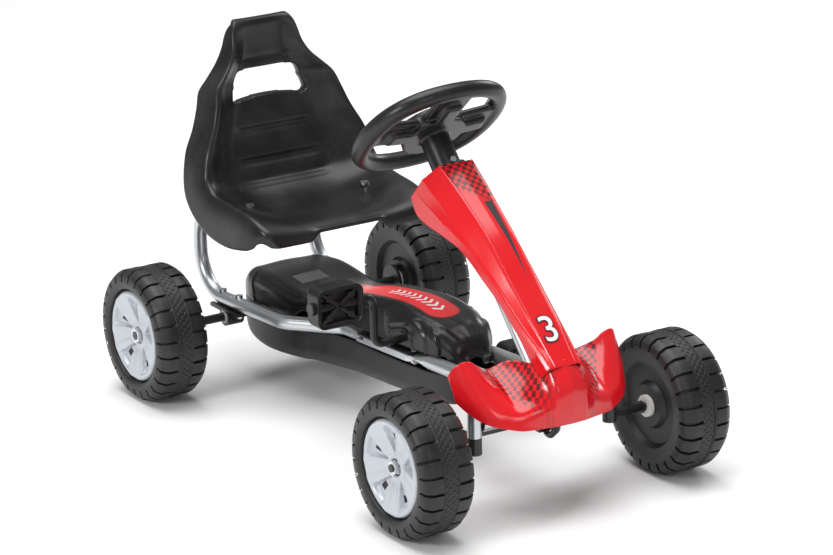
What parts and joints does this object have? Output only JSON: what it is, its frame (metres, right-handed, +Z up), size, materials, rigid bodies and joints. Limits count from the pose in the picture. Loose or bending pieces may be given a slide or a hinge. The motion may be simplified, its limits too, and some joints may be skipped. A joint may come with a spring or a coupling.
{
  "type": "pedal go kart",
  "caption": "Child's four-wheel pedal kart with a bucket seat, steered front wheels, bent pedal crank and chain-driven rear axle.",
  "frame": {"origin": "on the ground, under the middle of the overall box", "axes": "-Y is the kart's front, +Z is up, -X is the rider's right"},
  "size_m": [0.488, 0.798, 0.4962],
  "materials": {
    "tyre_plastic": "moulded, satin",
    "hub_silver": "silver plastic",
    "nylon": "white nylon",
    "red_plastic": "glossy red",
    "seat_plastic": "satin black",
    "wheel_plastic": "satin black",
    "pedal_plastic": "black",
    "black_plastic": "satin black",
    "silver_tube": "silver powder coat",
    "black_steel": "black coat",
    "chain_steel": "oiled steel",
    "zinc": "zinc plated"
  },
  "bodies": {
    "frame": {"axle_bracket_left": "black_steel", "axle_bracket_right": "black_steel", "axle_bush_left": "nylon", "axle_bush_right": "nylon", "bracket_bolts": "zinc", "case_screws": "zinc", "chain": "chain_steel", "chain_case_lower": "black_plastic", "chain_case_upper": "black_plastic", "column_bush_lower": "nylon", "column_bush_upper": "nylon", "column_cover": "red_plastic", "cover_screws": "zinc", "crank_bush_left": "black_plastic", "crank_bush_right": "black_plastic", "front_beam": "silver_tube", "front_rail_left": "silver_tube", "front_rail_right": "silver_tube", "kingpin_sleeve_left": "silver_tube", "kingpin_sleeve_right": "silver_tube", "lap_bolts": "zinc", "nose_fairing": "red_plastic", "rear_tube_left": "silver_tube", "rear_tube_right": "silver_tube", "seat_bolts": "zinc", "seat_shell": "seat_plastic", "steering_post": "silver_tube"},
    "steering": {"steering_column": "black_steel", "steering_wheel": "wheel_plastic", "wheel_screw": "zinc"},
    "knuckle_left": {"knuckle_left": "black_steel", "kingpin_nut_left": "zinc", "axle_nut_front_left": "zinc"},
    "knuckle_right": {"knuckle_right": "black_steel", "kingpin_nut_right": "zinc", "axle_nut_front_right": "zinc"},
    "tie_bar": {"tie_bar": "black_steel"},
    "front_wheel_left": {"tyre_front_left": "tyre_plastic", "hub_cap_front_left": "hub_silver", "wheel_bush_front_left": "nylon"},
    "front_wheel_right": {"tyre_front_right": "tyre_plastic", "hub_cap_front_right": "hub_silver", "wheel_bush_front_right": "nylon"},
    "crank": {"crank_shaft": "black_steel", "front_sprocket": "chain_steel", "pedal_cap_left": "zinc", "pedal_cap_right": "zinc"},
    "pedal_left": {"pedal_left": "pedal_plastic"},
    "pedal_right": {"pedal_right": "pedal_plastic"},
    "rear_axle": {"rear_axle": "black_steel", "rear_sprocket": "chain_steel", "drive_dog": "black_plastic", "tyre_rear_left": "tyre_plastic", "hub_cap_rear_left": "hub_silver", "wheel_bush_rear_left": "nylon", "axle_nut_rear_left": "zinc", "axle_nut_rear_right": "zinc"},
    "rear_wheel_right": {"tyre_rear_right": "tyre_plastic", "hub_cap_rear_right": "hub_silver", "wheel_bush_rear_right": "nylon"}
  },
  "joints": [
    {"name": "steering_turn", "type": "hinge", "parent": "frame", "child": "steering", "pos_m": [0, -0.082, 0.4], "axis": [0, 0.6655, 0.7464], "range_deg": [-25, 25]},
    {"name": "kingpin_left", "type": "hinge", "parent": "frame", "child": "knuckle_left", "pos_m": [0.1, -0.309, 0.1], "axis": [0, 0, 1], "range_deg": [-25, 25]},
    {"name": "kingpin_right", "type": "hinge", "parent": "frame", "child": "knuckle_right", "pos_m": [-0.1, -0.309, 0.1], "axis": [0, 0, 1], "range_deg": [-25, 25]},
    {"name": "tie_bar_pivot", "type": "hinge", "parent": "knuckle_right", "child": "tie_bar", "pos_m": [-0.1, -0.279, 0.095], "axis": [0, 0, 1], "range_deg": [-25, 25]},
    {"name": "front_wheel_left_roll", "type": "hinge", "parent": "knuckle_left", "child": "front_wheel_left", "pos_m": [0.1895, -0.309, 0.09], "axis": [1, 0, 0], "continuous": true},
    {"name": "front_wheel_right_roll", "type": "hinge", "parent": "knuckle_right", "child": "front_wheel_right", "pos_m": [-0.1895, -0.309, 0.09], "axis": [1, 0, 0], "continuous": true},
    {"name": "axle_turn", "type": "hinge", "parent": "frame", "child": "rear_axle", "pos_m": [0, 0.309, 0.09], "axis": [1, 0, 0], "continuous": true, "deforming": ["chain"]},
    {"name": "rear_wheel_right_roll", "type": "hinge", "parent": "rear_axle", "child": "rear_wheel_right", "pos_m": [-0.2075, 0.309, 0.09], "axis": [1, 0, 0], "continuous": true},
    {"name": "crank_turn", "type": "hinge", "parent": "frame", "child": "crank", "pos_m": [0, -0.0548, 0.148], "axis": [1, 0, 0], "continuous": true, "deforming": ["chain"]},
    {"name": "pedal_left_turn", "type": "hinge", "parent": "crank", "child": "pedal_left", "pos_m": [0.14, -0.0548, 0.083], "axis": [1, 0, 0], "continuous": true},
    {"name": "pedal_right_turn", "type": "hinge", "parent": "crank", "child": "pedal_right", "pos_m": [-0.14, -0.0548, 0.213], "axis": [1, 0, 0], "continuous": true}
  ],
  "couplings": [
    {"joint": "kingpin_left", "follows": "steering_turn", "ratio": 1},
    {"joint": "kingpin_right", "follows": "steering_turn", "ratio": 1},
    {"joint": "tie_bar_pivot", "follows": "steering_turn", "ratio": -1},
    {"joint": "crank_turn", "follows": "axle_turn", "ratio": 0.75}
  ]
}
